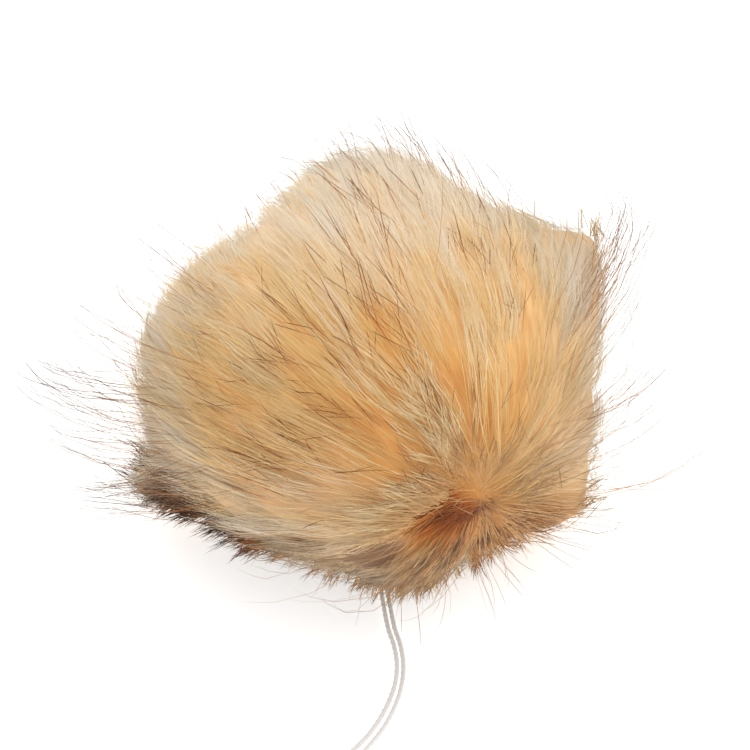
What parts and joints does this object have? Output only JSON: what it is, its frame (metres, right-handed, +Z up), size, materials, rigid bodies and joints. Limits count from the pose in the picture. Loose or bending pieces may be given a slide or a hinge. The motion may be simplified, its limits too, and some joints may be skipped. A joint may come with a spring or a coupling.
{
  "type": "faux fur pom pom",
  "caption": "Round long-pile faux fur pom pom, combed away from a low whorl, with cotton ties that lie out in front for sewing or knotting it on.",
  "frame": {"origin": "middle of the flat spot that the ball rests on, on the surface", "axes": "+Z up, -Y the side where the ties come out, +X to the right seen from that side"},
  "size_m": [0.1739, 0.1948, 0.1021],
  "materials": {
    "fur": "long soft acrylic pile, cream and apricot with dark brown guard hairs",
    "cotton": "off-white two-ply cotton string"
  },
  "bodies": {
    "root": {"pompom": "fur", "tie_a": "cotton", "tie_b": "cotton"}
  },
  "joints": []
}
